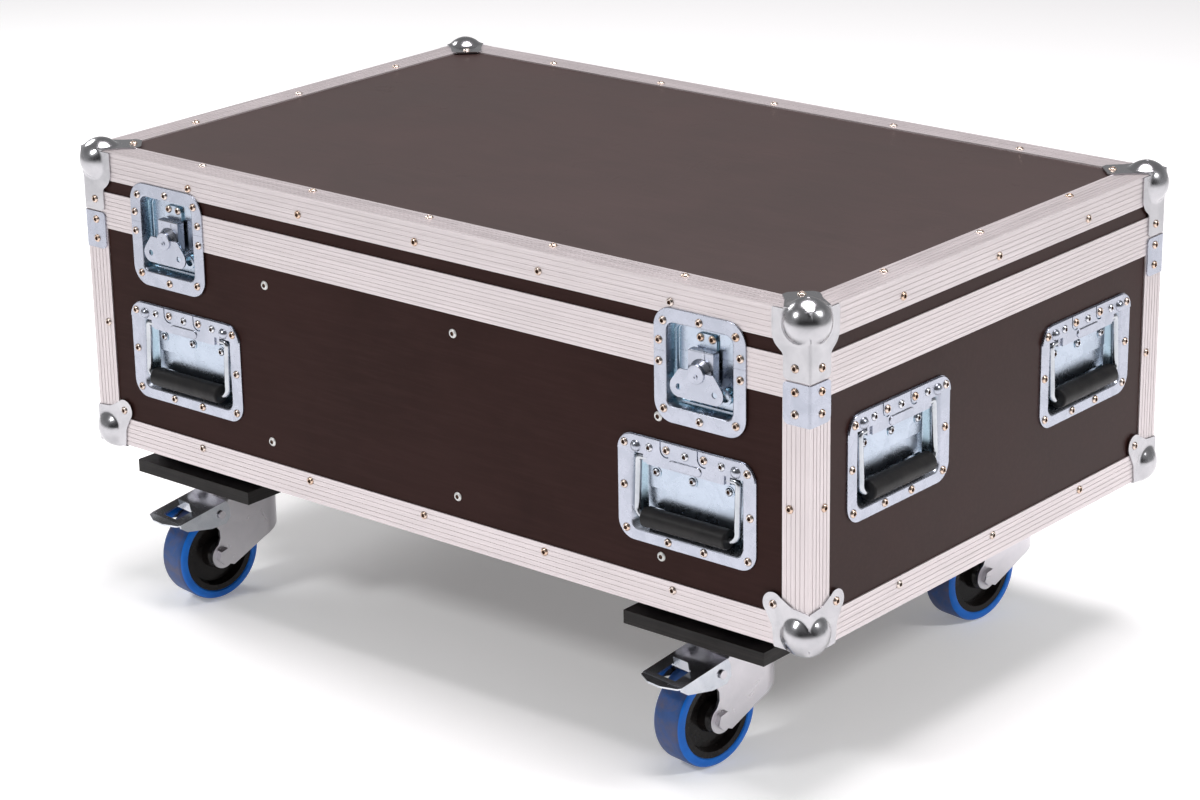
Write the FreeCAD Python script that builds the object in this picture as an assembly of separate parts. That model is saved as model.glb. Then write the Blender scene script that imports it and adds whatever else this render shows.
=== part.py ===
"""Transport case on swivel casters, built as the separate pieces that it is assembled from.

Frame: millimetres, origin on the floor under the centre of the case, +X to the right along
the long side, -Y towards the latch side, +Z up. Hardware that sits on a wall is modelled in a
wall frame (x to the right, y into the case, z up, y = 0 on the outer face of the aluminium)
and then placed on the front, right, back or left wall.
"""
import FreeCAD, Part
import math
import os

Vector = FreeCAD.Vector

# Case body
LENGTH = 930.0
DEPTH = 585.0
BODY_HEIGHT = 318.0
BODY_BOTTOM = 155.0
SPLIT_HEIGHT = 252.3
SEAM = 0.2
PANEL = 9.0
SKIN = 1.5

# Aluminium extrusions
EDGE_LEG = 30.0
BASE_RAIL_HEIGHT = 16.3
LID_RAIL_HEIGHT = 22.2
TONGUE_HEIGHT = 4.0
GROOVE_DEPTH = 0.35
GROOVE_WIDTH = 0.9
MITRE_GAP = 0.1

# Ball corners and braces
BALL_RADIUS = 22.5
BALL_INSET = 13.0
EAR_CENTRE = 39.0
EAR_RADIUS = 11.5
TOP_EAR_CENTRE = 37.0
FLANGE_REACH = 41.0
FLANGE_DROP = 31.0
TONGUE_REACH = 28.0
LEG_WIDTH = 28.5
LEG_SHOULDER = 41.0
BRACE_HEIGHT = 39.0
BEND_RADIUS = 3.0
COLLAR_RADIUS = 6.0
COLLAR_END = 0.9
LEG_RIVET = 15.4

# Rivets and bolts
RIVET_RADIUS = 4.1
RIVET_HEIGHT = 1.9
RIVET_INSET = 22.0
LID_RIVET_INSET = 19.0
LONG_RIVET_PITCH = 155.0
END_RIVET_PITCH = 153.5
BOLT_HEAD_RADIUS = 4.6
BOLT_HEAD_HEIGHT = 1.6

# Inside dividers, set by the bolt rows on the front wall
DIVIDER_X = (-208.0, 44.5, 296.0)
DIVIDER_TOP = 235.0
DIVIDER_BOLT_Z = (51.5, 216.5)
CORNER_BOLT_Z = 187.5
CORNER_BOLT_X = 294.0

# Latches
LATCH_X = 343.7
LATCH_Z = 240.1
LATCH_WIDTH = 104.0
LATCH_HEIGHT = 108.6
LATCH_RADIUS = 20.0
LATCH_OPENING = 75.0
LATCH_OPENING_LOW = -38.4
LATCH_OPENING_HIGH = 40.4
LATCH_LEDGE = 9.6
LATCH_DEPTH = 12.0
HUB_Z = -0.3
HUB_RADIUS = 4.0
WING_X = 20.4
WING_Z = -16.1
WING_RADIUS = 9.7
WING_FRONT = -5.8
WING_SHEET = 1.6
BOSS_RADIUS = 9.2
BOSS_BASE_RADIUS = 12.2
BLOCK_HALF_WIDTH = 14.2
BLOCK_FRONT = 0.8
BLOCK_TOP = 19.6
BLOCK_TRAVEL = 4.0
CATCH_FACE = 9.4
CATCH_RIVET_X = 6.7
CATCH_RIVET_Z = 29.0

# Handles
HANDLE_WIDTH = 159.0
HANDLE_HEIGHT = 104.0
HANDLE_RADIUS = 18.0
HANDLE_OPENING = 128.0
RECESS_LOW = -40.5
RECESS_HIGH = 44.0
HANDLE_DEPTH = 13.0
POCKET_TOP = -21.0
POCKET_DEPTH = 17.0
INNER_PLATE = 3.0
INNER_RIVET_Z = 15.4
COVER_LOW = 26.0
COVER_SIDE_LOW = 34.8
BAIL_RADIUS = 3.2
BAIL_HALF = 57.5
PIVOT_Y = 3.4
PIVOT_Z = 30.0
GRIP_Y = 0.8
GRIP_Z = -26.5
GRIP_RADIUS = 9.8
GRIP_HALF = 48.5
FRONT_HANDLE_X = 326.6
FRONT_HANDLE_Z = 113.8
END_HANDLE_X = 156.5
END_HANDLE_Z = 155.8

# Hinges
HINGE_X = 270.0
HINGE_WIDTH = 90.0
HINGE_AXIS_OUT = 6.5
KNUCKLE_RADIUS = 5.0
HINGE_PIN_RADIUS = 2.5
LEAF = 2.0

# Caster boards and casters
BOARD_WIDTH = 164.0
BOARD_DEPTH = 140.6
BOARD_THICK = 13.5
SPACER_SETBACK = 33.0
CASTER_X = 331.0
CASTER_Y = 220.0
CASTER_STEER_DEG = 8.0
CASTER_HEIGHT = 128.0
WHEEL_RADIUS = 50.0
TREAD_WIDTH = 36.0
RIM_RADIUS = 40.5
TRAIL = 46.0
AXLE_RADIUS = 6.0
RUNNING_GAP = 0.06
PLATE_BOLT_X = 40.0
PLATE_BOLT_Y = 30.0
FORK_INNER = 21.0
FORK_SHEET = 3.0
CROWN_TOP = 112.0
PEDAL_PIVOT_Y = -48.0
PEDAL_PIVOT_Z = 97.0

HALF_LENGTH = LENGTH / 2
HALF_DEPTH = DEPTH / 2
BODY_TOP = BODY_BOTTOM + BODY_HEIGHT
SPLIT = BODY_BOTTOM + SPLIT_HEIGHT
WALL_X = HALF_LENGTH - SKIN
WALL_Y = HALF_DEPTH - SKIN
LID_WALL_LOW = SPLIT + 6.7
FACE_ANGLE = {"front": 0.0, "right": 90.0, "back": 180.0, "left": -90.0}


# ---------------------------------------------------------------- small geometry helpers

def block(low, high):
    size = [high[i] - low[i] for i in range(3)]
    return Part.makeBox(size[0], size[1], size[2], Vector(*low))


def rod(start, end, radius):
    axis = Vector(*end) - Vector(*start)
    return Part.makeCylinder(radius, axis.Length, Vector(*start), axis)


def rounded_wire(width, low, high, radius, y):
    """Rounded rectangle in the XZ plane at depth y, centred on x = 0."""
    half = width / 2
    edges = []
    corners = ((half, low, 0), (half, high, 90), (-half, high, 180), (-half, low, 270))
    for i, (x, z, turn) in enumerate(corners):
        sx = 1 if x > 0 else -1
        sz = 1 if z == high else -1
        cx = x - sx * radius
        cz = z - sz * radius
        angles = [math.radians(turn - 90 + step) for step in (0, 45, 90)]
        arc = [Vector(cx + radius * math.cos(a), y, cz + radius * math.sin(a)) for a in angles]
        edges.append(Part.Arc(*arc).toShape())
        nx, nz, nturn = corners[(i + 1) % 4]
        nsx = 1 if nx > 0 else -1
        nsz = 1 if nz == high else -1
        first = math.radians(nturn - 90)
        begin = Vector(nx - nsx * radius + radius * math.cos(first), y,
                       nz - nsz * radius + radius * math.sin(first))
        edges.append(Part.LineSegment(arc[2], begin).toShape())
    return Part.Wire(edges)


def rounded_plate(width, low, high, radius, y0, y1):
    face = Part.Face(rounded_wire(width, low, high, radius, y0))
    return face.extrude(Vector(0, y1 - y0, 0))


def prism(points, along, length):
    """Polygon of 3D points, extruded along a direction."""
    wire = Part.makePolygon([Vector(*p) for p in list(points) + [points[0]]])
    return Part.Face(wire).extrude(Vector(*along) * length)


def bent_wire(points, radii, closed):
    """Straight runs through 3D points, joined by tangent arcs; a radius of 0 keeps a sharp corner."""
    spots = [Vector(*p) for p in points]
    count = len(spots)
    edges = []
    begin = None if closed else spots[0]
    start = begin
    for i in range(0 if closed else 1, count if closed else count - 1):
        corner = spots[i]
        toward = (spots[i - 1] - corner).normalize()
        away = (spots[(i + 1) % count] - corner).normalize()
        half_turn = toward.getAngle(away) / 2
        cut_back = radii[i] / math.tan(half_turn)
        first = corner + toward * cut_back
        last = corner + away * cut_back
        if begin is None:
            start = first
        else:
            edges.append(Part.LineSegment(begin, first).toShape())
        if radii[i] > 0:
            inward = (toward + away).normalize()
            centre = corner + inward * (radii[i] / math.sin(half_turn))
            edges.append(Part.Arc(first, centre - inward * radii[i], last).toShape())
        begin = last
    end = start if closed else spots[-1]
    edges.append(Part.LineSegment(begin, end).toShape())
    return Part.Wire(edges)


def soft_plate(outline, to_space, along, thickness):
    """Plate from (a, b, corner radius) points, set in space by to_space(a, b)."""
    wire = bent_wire([to_space(a, b) for a, b, r in outline], [r for a, b, r in outline], True)
    return Part.Face(wire).extrude(Vector(*along) * thickness)


def dish(width, low, high, corner, steps):
    """Solid of a pressed hollow: rounded rectangles at each (depth, inset) step, ruled together."""
    wires = [rounded_wire(width - 2 * inset, low + inset, high - inset, max(corner - inset / 2, 3), y)
             for y, inset in steps]
    return Part.makeLoft(wires, True, True)


def strap(p, rp, q, rq, y0, y1):
    """Flat bar between two round ends, in the XZ plane."""
    dx = q[0] - p[0]
    dz = q[1] - p[1]
    span = math.hypot(dx, dz)
    base = math.atan2(dz, dx)
    lean = math.acos((rp - rq) / span)
    corners = []
    for centre, radius, angle in ((p, rp, base + lean), (q, rq, base + lean),
                                  (q, rq, base - lean), (p, rp, base - lean)):
        corners.append((centre[0] + radius * math.cos(angle), y0,
                        centre[1] + radius * math.sin(angle)))
    body = prism(corners, (0, 1, 0), y1 - y0)
    ends = [rod((c[0], y0, c[1]), (c[0], y1, c[1]), r) for c, r in ((p, rp), (q, rq))]
    return body.fuse(ends)


def place(shape, face, x=0.0, z=0.0):
    """Move a shape from the wall frame onto a wall of the case; z is above the case bottom."""
    reach = HALF_DEPTH if face in ("front", "back") else HALF_LENGTH
    moved = shape.copy()
    moved.translate(Vector(x, -reach, BODY_BOTTOM + z))
    moved.rotate(Vector(0, 0, 0), Vector(0, 0, 1), FACE_ANGLE[face])
    return moved


def mirrored_corners(shape):
    """The shape at the +X -Y corner and its three mirror images."""
    in_x = shape.mirror(Vector(0, 0, 0), Vector(1, 0, 0))
    in_y = shape.mirror(Vector(0, 0, 0), Vector(0, 1, 0))
    in_both = in_x.mirror(Vector(0, 0, 0), Vector(0, 1, 0))
    return [shape, in_x, in_y, in_both]


def rivet(x, y, z):
    """Rivet head on a wall surface at depth y, domed, with the hollow of its set shank."""
    r = RIVET_RADIUS
    h = RIVET_HEIGHT
    outline = [(0, 0, 0), (r, 0, 0), (r, -0.35 * h, 0), (0.78 * r, -0.85 * h, 0),
               (0.5 * r, -h, 0), (0.36 * r, -0.3 * h, 0), (0, -0.3 * h, 0)]
    wire = Part.makePolygon([Vector(*p) for p in outline + [outline[0]]])
    head = Part.Face(wire).revolve(Vector(0, 0, 0), Vector(0, 1, 0), 360)
    head.translate(Vector(x, y, z))
    return head


def top_rivet(x, y, z):
    head = rivet(0, 0, 0)
    head.rotate(Vector(0, 0, 0), Vector(1, 0, 0), -90)
    head.translate(Vector(x, y, z))
    return head


def solids(shapes):
    return Part.makeCompound([solid for shape in shapes for solid in shape.Solids])


# ---------------------------------------------------------------- hardware positions

def latch_places():
    return [("front", side * LATCH_X, LATCH_Z) for side in (-1, 1)]


def handle_places():
    places = [("front", side * FRONT_HANDLE_X, FRONT_HANDLE_Z) for side in (-1, 1)]
    places += [(face, side * END_HANDLE_X, END_HANDLE_Z) for face in ("right", "left") for side in (-1, 1)]
    return places


def wall_cutouts():
    """Blocks that clear each recessed dish out of walls, rails and dividers."""
    cuts = []
    margin = SKIN + 0.5
    half_latch = LATCH_OPENING / 2 + margin
    for face, x, z in latch_places():
        cut = block((-half_latch, -1, LATCH_OPENING_LOW - margin),
                    (half_latch, LATCH_DEPTH + 5, LATCH_OPENING_HIGH + margin))
        cuts.append(place(cut, face, x, z))
    half_handle = HANDLE_OPENING / 2 + margin
    for face, x, z in handle_places():
        cut = block((-half_handle, -1, RECESS_LOW - margin),
                    (half_handle, POCKET_DEPTH + 3, RECESS_HIGH + margin))
        cuts.append(place(cut, face, x, z))
    return Part.makeCompound(cuts)


# ---------------------------------------------------------------- plywood

def bottom_panel():
    return block((-WALL_X, -WALL_Y, BODY_BOTTOM + SKIN), (WALL_X, WALL_Y, BODY_BOTTOM + SKIN + PANEL))


def base_walls():
    low = BODY_BOTTOM + SKIN + PANEL
    high = SPLIT - SKIN
    cuts = wall_cutouts()
    walls = {}
    for name, side in (("front_panel", -1), ("back_panel", 1)):
        outer = side * WALL_Y
        inner = side * (WALL_Y - PANEL)
        wall = block((-WALL_X, min(outer, inner), low), (WALL_X, max(outer, inner), high))
        walls[name] = wall.cut(cuts)
    for name, side in (("left_panel", -1), ("right_panel", 1)):
        outer = side * WALL_X
        inner = side * (WALL_X - PANEL)
        reach = WALL_Y - PANEL
        wall = block((min(outer, inner), -reach, low), (max(outer, inner), reach, high))
        walls[name] = wall.cut(cuts)
    return walls


def lid_top_panel():
    return block((-WALL_X, -WALL_Y, BODY_TOP - SKIN - PANEL), (WALL_X, WALL_Y, BODY_TOP - SKIN))


def lid_long_panels():
    cuts = wall_cutouts()
    high = BODY_TOP - SKIN - PANEL
    front = block((-WALL_X, -WALL_Y, LID_WALL_LOW), (WALL_X, -WALL_Y + PANEL, high)).cut(cuts)
    back = block((-WALL_X, WALL_Y - PANEL, LID_WALL_LOW), (WALL_X, WALL_Y, high))
    return solids([front, back])


def lid_end_panels():
    high = BODY_TOP - SKIN - PANEL
    reach = WALL_Y - PANEL
    right = block((WALL_X - PANEL, -reach, LID_WALL_LOW), (WALL_X, reach, high))
    left = block((-WALL_X, -reach, LID_WALL_LOW), (-WALL_X + PANEL, reach, high))
    return solids([left, right])


def interior_dividers():
    """Boards across the case; their top corners are relieved where the closing rails turn inward."""
    low = BODY_BOTTOM + SKIN + PANEL
    high = BODY_BOTTOM + DIVIDER_TOP
    reach = WALL_Y - PANEL
    relief = 5.0
    cuts = wall_cutouts()
    boards = []
    for x in DIVIDER_X:
        outline = [(-reach, low), (reach, low), (reach, high - relief), (reach - relief, high),
                   (-reach + relief, high), (-reach, high - relief)]
        board = prism([(x - PANEL / 2, y, z) for y, z in outline], (1, 0, 0), PANEL)
        boards.append(board.cut(cuts))
    return solids(boards)


# ---------------------------------------------------------------- aluminium extrusions

def grooved_line(start, end, count, inward):
    """Points from start to end along a straight face, stepping inward for evenly spaced grooves."""
    ax, az = start
    bx, bz = end
    points = [(ax, az)]
    for i in range(1, count + 1):
        centre = i / (count + 1)
        half = GROOVE_WIDTH / 2 / math.hypot(bx - ax, bz - az)
        for t, depth in ((centre - half, 0), (centre - half, 1), (centre + half, 1), (centre + half, 0)):
            points.append((ax + (bx - ax) * t + inward[0] * GROOVE_DEPTH * depth,
                           az + (bz - az) * t + inward[1] * GROOVE_DEPTH * depth))
    points.append((bx, bz))
    return points


def ring(section):
    """Four mitred rails round the case from one (depth, height) section."""
    rails = []
    for face in ("front", "right", "back", "left"):
        half = HALF_LENGTH if face in ("front", "back") else HALF_DEPTH
        bar = prism([(-half, y, z) for y, z in section], (1, 0, 0), 2 * half)
        low = min(z for y, z in section) - 1
        high = max(z for y, z in section) + 1
        run = 2 * EDGE_LEG
        wedge = [(-half + MITRE_GAP - 1, -1, low), (half - MITRE_GAP + 1, -1, low),
                 (half - MITRE_GAP - run, run, low), (-half + MITRE_GAP + run, run, low)]
        rails.append(place(bar.common(prism(wedge, (0, 0, 1), high - low)), face))
    return rails


def base_edge_profiles():
    leg = EDGE_LEG
    t = SKIN
    section = grooved_line((0, leg), (0, 0), 5, (1, 0))
    section += grooved_line((0, 0), (leg, 0), 5, (0, 1))[1:]
    section += [(leg, t), (t, t), (t, leg)]
    rails = ring(section)
    outline = grooved_line((-leg, 0), (0, 0), 5, (0, 1))
    outline += grooved_line((0, 0), (0, leg), 5, (-1, 0))[1:]
    outline += [(-t, leg), (-t, t), (-leg, t)]
    low = BODY_BOTTOM + leg + SEAM
    high = SPLIT - BASE_RAIL_HEIGHT - SEAM
    corner = [(HALF_LENGTH + x, -HALF_DEPTH + y, low) for x, y in outline]
    return solids(rails + mirrored_corners(prism(corner, (0, 0, 1), high - low)))


def lid_edge_profiles():
    leg = EDGE_LEG
    t = SKIN
    high = BODY_HEIGHT
    section = grooved_line((0, high - leg), (0, high), 5, (1, 0))
    section += grooved_line((0, high), (leg, high), 5, (0, -1))[1:]
    section += [(leg, high - t), (t, high - t), (t, high - leg)]
    return solids(ring(section))


def base_closing_rails():
    """Channel over the wall's top edge, with the tongue that enters the lid rail."""
    t = SKIN
    inner = 2 * SKIN + PANEL
    high = SPLIT_HEIGHT
    low = high - BASE_RAIL_HEIGHT
    tip = high + TONGUE_HEIGHT
    section = grooved_line((0, low), (0, high), 3, (1, 0))
    section += [(8.0, high), (8.0, tip), (9.5, tip), (9.5, high), (inner, high), (inner, low),
                (inner - t, low), (inner - t, high - t), (t, high - t), (t, low)]
    return solids([rail.cut(wall_cutouts()) for rail in ring(section)])


def lid_closing_rails():
    """Channel under the lid wall, with the groove that takes the base tongue."""
    t = SKIN
    inner = 2 * SKIN + PANEL
    low = SPLIT_HEIGHT + SEAM
    high = SPLIT_HEIGHT + LID_RAIL_HEIGHT
    seat = LID_WALL_LOW - BODY_BOTTOM
    section = grooved_line((0, low), (0, high), 4, (1, 0))
    section += [(t, high), (t, seat), (inner - t, seat), (inner - t, high), (inner, high),
                (inner, low), (10.3, low), (10.3, seat - t), (7.2, seat - t), (7.2, low)]
    return solids([rail.cut(wall_cutouts()) for rail in ring(section)])


# ---------------------------------------------------------------- ball corners and braces

def on_face(plane):
    """Mapping from a face's two edge directions, at a case corner at the origin, into space."""
    u, v = [Vector(*axis) for axis in plane[:2]]
    return lambda a, b: tuple(u * a + v * b)


def ear(plane):
    """Flange of a base corner with its round rivet ear, on one face of the corner.

    plane gives the two edge directions and the outward normal of the face.
    """
    s = SKIN
    outline = [(-s, -s, 0), (38, -s, 1.5), (40, 18, 12), (50, 36, 0),
               (36, 50, 0), (18, 40, 12), (-s, 38, 1.5)]
    plate = soft_plate(outline, on_face(plane), plane[2], s)
    centre = Vector(*on_face(plane)(EAR_CENTRE, EAR_CENTRE))
    lobe = Part.makeCylinder(EAR_RADIUS, s, centre, Vector(*plane[2]))
    return plate.fuse([lobe, collar(plane)])


def top_tongue(plane):
    """Flange of a lid corner on the lid's top: a short blunt tongue with one rivet."""
    s = SKIN
    reach = TONGUE_REACH
    outline = [(-s, -s, 0), (reach, -s, 0), (40, 16, 8), (51, 27, 3.5), (51, 34.5, 3.5),
               (34.5, 51, 3.5), (27, 51, 3.5), (16, 40, 8), (-s, reach, 0)]
    return soft_plate(outline, on_face(plane), plane[2], s).fuse(collar(plane))


def ball():
    """Pressed ball over the corner of a case that fills x < 0, y > 0, z < 0."""
    k = BALL_INSET
    sphere = Part.makeSphere(BALL_RADIUS, Vector(-k, k, -k))
    reach = 2 * BALL_RADIUS
    return sphere.cut(block((-reach, 0, -reach), (0, reach, 0)))


def collar(plane):
    """Hollow curve that leads from a flat flange up into the ball, turned about the ball's centre."""
    u, v, normal = [Vector(*axis) for axis in plane]
    lift = BALL_INSET + SKIN + COLLAR_RADIUS
    span = BALL_RADIUS + COLLAR_RADIUS
    foot = math.sqrt(span ** 2 - lift ** 2)
    share = BALL_RADIUS / span
    top_r = foot * share
    top_h = lift * share - BALL_INSET - SKIN
    lean = math.atan2(-lift, -foot)
    middle = (lean - math.pi / 2) / 2
    arc = Part.Arc(Vector(foot, 0, 0),
                   Vector(foot + COLLAR_RADIUS * math.cos(middle), 0,
                          COLLAR_RADIUS + COLLAR_RADIUS * math.sin(middle)),
                   Vector(top_r, 0, top_h))
    lines = [Part.LineSegment(Vector(top_r, 0, top_h), Vector(0, 0, top_h)),
             Part.LineSegment(Vector(0, 0, top_h), Vector(0, 0, 0)),
             Part.LineSegment(Vector(0, 0, 0), Vector(foot, 0, 0))]
    wire = Part.Wire([arc.toShape()] + [line.toShape() for line in lines])
    turned = Part.Face(wire).revolve(Vector(0, 0, 0), Vector(0, 0, 1), 360)
    turned.Placement = FreeCAD.Placement(Vector(0, 0, 0), FreeCAD.Rotation(Vector(0, 0, 1), normal))
    turned.translate((u + v) * BALL_INSET + normal * SKIN)
    far = (u + v) * 60 + normal * 20
    near = (u + v) * -COLLAR_END
    low = [min(near[i], far[i]) for i in range(3)]
    high = [max(near[i], far[i]) for i in range(3)]
    return turned.common(block(low, high))


def folded(outline):
    """Two flanges of one (distance from the corner, z) outline, folded round the upright edge."""
    s = SKIN
    front = soft_plate(outline, lambda a, z: (-a, -s, z), (0, 1, 0), s)
    side = soft_plate(outline, lambda a, z: (0, a, z), (1, 0, 0), s)
    pair = front.fuse(side).removeSplitter()
    bend = [edge for edge in pair.Edges
            if edge.BoundBox.XMin > s - 0.01 and edge.BoundBox.YMax < -s + 0.01]
    return pair.makeFillet(BEND_RADIUS, bend)


def lid_ball_corners():
    s = SKIN
    low = SPLIT_HEIGHT + SEAM + 1.5 - BODY_HEIGHT
    outline = [(-s, s, 0), (TONGUE_REACH, s, 0), (TONGUE_REACH, -0.3, 0), (FLANGE_REACH, -0.3, 1.2),
               (FLANGE_REACH, -FLANGE_DROP, 18), (LEG_WIDTH, -LEG_SHOULDER, 6), (LEG_WIDTH, low, 5),
               (-s, low, 0)]
    front = ((-1, 0, 0), (0, 0, -1), (0, -1, 0))
    side = ((0, 1, 0), (0, 0, -1), (1, 0, 0))
    top = top_tongue(((-1, 0, 0), (0, 1, 0), (0, 0, 1)))
    corner = folded(outline).fuse([ball(), top, collar(front), collar(side)])
    corner = corner.cut(block((-90, 0, -90), (0, 90, 0))).removeSplitter()
    corner.translate(Vector(HALF_LENGTH, -HALF_DEPTH, BODY_TOP))
    return solids(mirrored_corners(corner))


def base_ball_corners():
    top = ear(((-1, 0, 0), (0, 1, 0), (0, 0, 1)))
    front = ear(((-1, 0, 0), (0, 0, -1), (0, -1, 0)))
    side = ear(((0, 1, 0), (0, 0, -1), (1, 0, 0)))
    corner = ball().fuse([top, front, side]).cut(block((-90, 0, -90), (0, 90, 0)))
    corner = corner.removeSplitter().mirror(Vector(0, 0, 0), Vector(0, 0, 1))
    corner.translate(Vector(HALF_LENGTH, -HALF_DEPTH, BODY_BOTTOM))
    return solids(mirrored_corners(corner))


def base_corner_braces():
    high = SPLIT - SEAM
    low = high - BRACE_HEIGHT
    brace = folded([(-SKIN, high, 0), (LEG_WIDTH, high, 4), (LEG_WIDTH, low, 6), (-SKIN, low, 0)])
    brace = brace.cut(block((-90, 0, low - 1), (0, 90, high + 1)))
    brace.translate(Vector(HALF_LENGTH, -HALF_DEPTH, 0))
    return solids(mirrored_corners(brace))


# ---------------------------------------------------------------- latches

def latch_dish():
    """Whole pressed dish in its wall frame, before it is parted at the lid seam."""
    s = SKIN
    low = LATCH_OPENING_LOW
    high = LATCH_OPENING_HIGH
    flange = rounded_plate(LATCH_WIDTH, -LATCH_HEIGHT / 2, LATCH_HEIGHT / 2, LATCH_RADIUS, -s, 0)
    rim = flange.makeFillet(0.7, [edge for edge in flange.Edges if edge.BoundBox.YMax < -s + 0.01])
    inside = [(-s - 0.01, -1.2), (-s + 0.5, -0.3), (-s + 1.4, 0), (LATCH_LEDGE - 1.2, 1.2),
              (LATCH_LEDGE - 0.2, 1.8), (LATCH_LEDGE, 3.8), (LATCH_DEPTH - 0.3, 4.2), (LATCH_DEPTH, 4.7)]
    outside = [(-s + 0.1, -s), (LATCH_LEDGE + s, 0.2), (LATCH_LEDGE + s, 2.8), (LATCH_DEPTH + s, 3.2)]
    mouth = dish(LATCH_OPENING, low, high, 9, outside[:2])
    floor = dish(LATCH_OPENING, low, high, 7, outside[2:])
    return rim.fuse([mouth, floor]).cut(dish(LATCH_OPENING, low, high, 8, inside))


def latch_base_dish():
    """Base part of the dish, with the shaft bore and two pressed rings."""
    seam = SPLIT_HEIGHT - LATCH_Z
    lower = latch_dish().common(block((-80, -10, -80), (80, 30, seam)))
    rings = []
    for x in (-22, 22):
        tube = rod((x, 7, -21), (x, LATCH_DEPTH + 0.5, -21), 7.5)
        rings.append(tube.cut(rod((x, 6, -21), (x, LATCH_DEPTH - 1.5, -21), 5)))
    bore = rod((0, 0, HUB_Z), (0, 20, HUB_Z), HUB_RADIUS + RUNNING_GAP)
    return lower.fuse(rings).cut(bore)


def latch_lid_dish():
    """Lid part of the dish, slit beside the catch plate that is riveted to its floor."""
    seam = SPLIT_HEIGHT - LATCH_Z + SEAM
    upper = latch_dish().common(block((-80, -10, seam), (80, 30, 80)))
    upper = upper.cut(block((12.1, LATCH_DEPTH - 1, seam - 1), (12.9, LATCH_DEPTH + 3, 34)))
    outline = [(-13, 21, 2), (-13, 27, 3), (-9, 33, 3), (9.5, 33, 3),
               (11.5, 28, 3), (11.5, 18, 2), (3, 16.5, 3), (-4, 18.5, 3)]
    catch = soft_plate(outline, lambda x, z: (x, CATCH_FACE, z), (0, 1, 0), LATCH_DEPTH - CATCH_FACE + 0.5)
    return upper.fuse(catch)


def latch_key():
    """Butterfly key: blunt-topped wings with finger holes, coned boss and the shaft to the dish."""
    front = WING_FRONT
    back = WING_FRONT + WING_SHEET
    top = HUB_Z - 2.0
    lobes = [(-WING_X, WING_Z), (WING_X, WING_Z)]
    shoulders = [(-17.5, top), (17.5, top)]
    wings = strap(lobes[0], WING_RADIUS, lobes[1], WING_RADIUS, front, back)
    for lobe, shoulder in zip(lobes, shoulders):
        wings = wings.fuse(strap(lobe, WING_RADIUS, shoulder, 3.8, front, back))
    middle = [shoulders[0], shoulders[1], lobes[1], lobes[0]]
    wings = wings.fuse([strap(shoulders[0], 3.8, shoulders[1], 3.79, front, back),
                        prism([(x, front, z) for x, z in middle], (0, 1, 0), WING_SHEET)])
    for x, z in lobes:
        wings = wings.cut(rod((x, front - 1, z), (x, back + 1, z), 3.0))
    cone_back = BLOCK_FRONT - 0.4
    foot = Vector(0, back, HUB_Z)
    cone = Part.makeCone(BOSS_RADIUS, BOSS_BASE_RADIUS, cone_back - back, foot, Vector(0, 1, 0))
    cap = rod((0, front - 1.6, HUB_Z), (0, back, HUB_Z), BOSS_RADIUS)
    cap = cap.makeFillet(0.9, [edge for edge in cap.Edges if edge.BoundBox.YMax < front - 1.5])
    pin = rod((0, front - 2.4, HUB_Z - 2.5), (0, back, HUB_Z - 2.5), 2.3)
    dimple = rod((0, front - 3, HUB_Z - 2.5), (0, front - 1.4, HUB_Z - 2.5), 1.1)
    shaft = rod((0, 0, HUB_Z), (0, LATCH_DEPTH + SKIN + 1.6, HUB_Z), HUB_RADIUS)
    head = rod((0, LATCH_DEPTH + SKIN + 0.3, HUB_Z), (0, LATCH_DEPTH + SKIN + 1.6, HUB_Z), 6.5)
    return wings.fuse([cone, cap, pin, shaft, head]).cut(dimple)


def latch_hook():
    """Draw block that the key lifts; slotted round the key's shaft, with the joint of its folded front."""
    body = block((-BLOCK_HALF_WIDTH, BLOCK_FRONT, -15), (BLOCK_HALF_WIDTH, 9.1, BLOCK_TOP))
    edges = [edge for edge in body.Edges if edge.BoundBox.ZMin > BLOCK_TOP - 0.1]
    body = body.makeFillet(1.8, edges)
    body = body.cut(block((4.2, BLOCK_FRONT - 1, HUB_Z), (4.9, BLOCK_FRONT + 0.8, BLOCK_TOP - 2.5)))
    slot_half = HUB_RADIUS + 0.3
    low = HUB_Z - BLOCK_TRAVEL - slot_half
    high = HUB_Z + slot_half
    return body.cut(block((-slot_half, -1, low), (slot_half, 10, high)))


# ---------------------------------------------------------------- handles

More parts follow.
